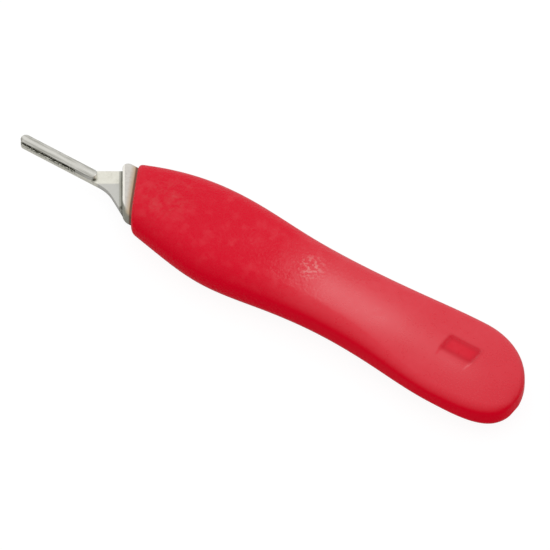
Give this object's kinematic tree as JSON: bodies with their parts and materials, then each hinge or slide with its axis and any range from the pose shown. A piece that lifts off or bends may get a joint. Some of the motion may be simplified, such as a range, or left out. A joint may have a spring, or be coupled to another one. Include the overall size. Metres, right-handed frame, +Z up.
{
  "type": "scalpel handle",
  "caption": "Heavy scalpel handle: a steel blade fitting with a grooved boss, flat seat and oblique shoulder, in a thick waisted plastic grip.",
  "frame": {"origin": "under the belly of the grip, on the level that the handle lies on, halfway along the whole length and in the middle of the width", "axes": "+X along the handle from the blade end to the tail, +Y across it to the side with the forward shoulder corner, +Z up, out of the blade seat"},
  "size_m": [0.1499, 0.0268, 0.0134],
  "materials": {
    "fitting_steel": "satin, milled",
    "grip_red": "moulded, fine pebbled, semi-gloss"
  },
  "bodies": {
    "root": {"blade_fitting": "fitting_steel", "grip": "grip_red"}
  },
  "joints": []
}
